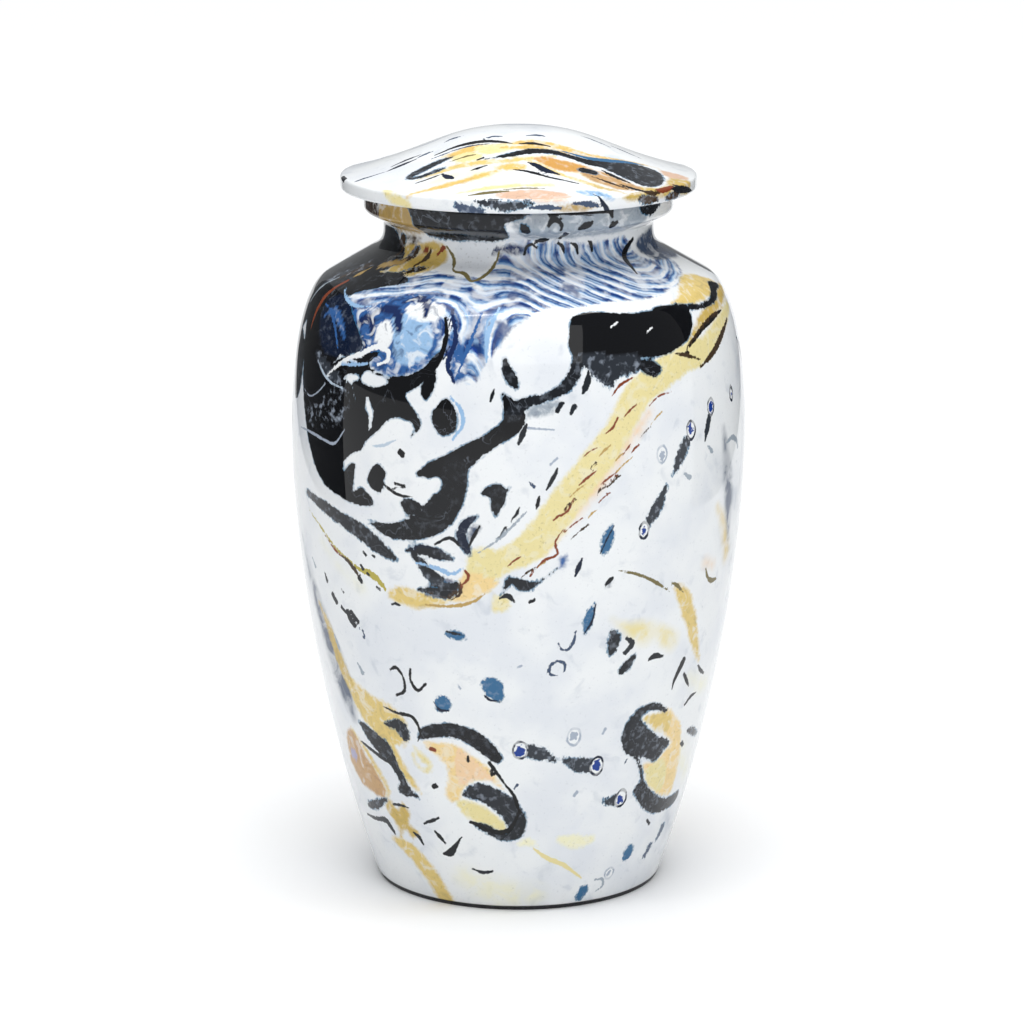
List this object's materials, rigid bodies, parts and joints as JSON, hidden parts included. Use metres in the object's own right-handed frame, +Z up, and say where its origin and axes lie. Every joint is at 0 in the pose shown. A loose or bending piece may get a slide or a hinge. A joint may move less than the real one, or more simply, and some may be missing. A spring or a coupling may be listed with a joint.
{
  "type": "cremation urn",
  "caption": "Hollow cast-metal urn with a round shoulder, flared mouth and domed lift-off lid, in a glossy marbled print.",
  "frame": {"origin": "where the urn's axis meets the surface it stands on, in the underside of the felt pad", "axes": "+Z up along the axis of turning; the shape is round, and -Y faces the picture's viewer"},
  "size_m": [0.1524, 0.1524, 0.2567],
  "materials": {
    "marbled_print": "gloss",
    "black_felt": "matte"
  },
  "bodies": {
    "root": {"felt_pad": "black_felt", "vessel": "marbled_print", "lid": "marbled_print"}
  },
  "joints": []
}
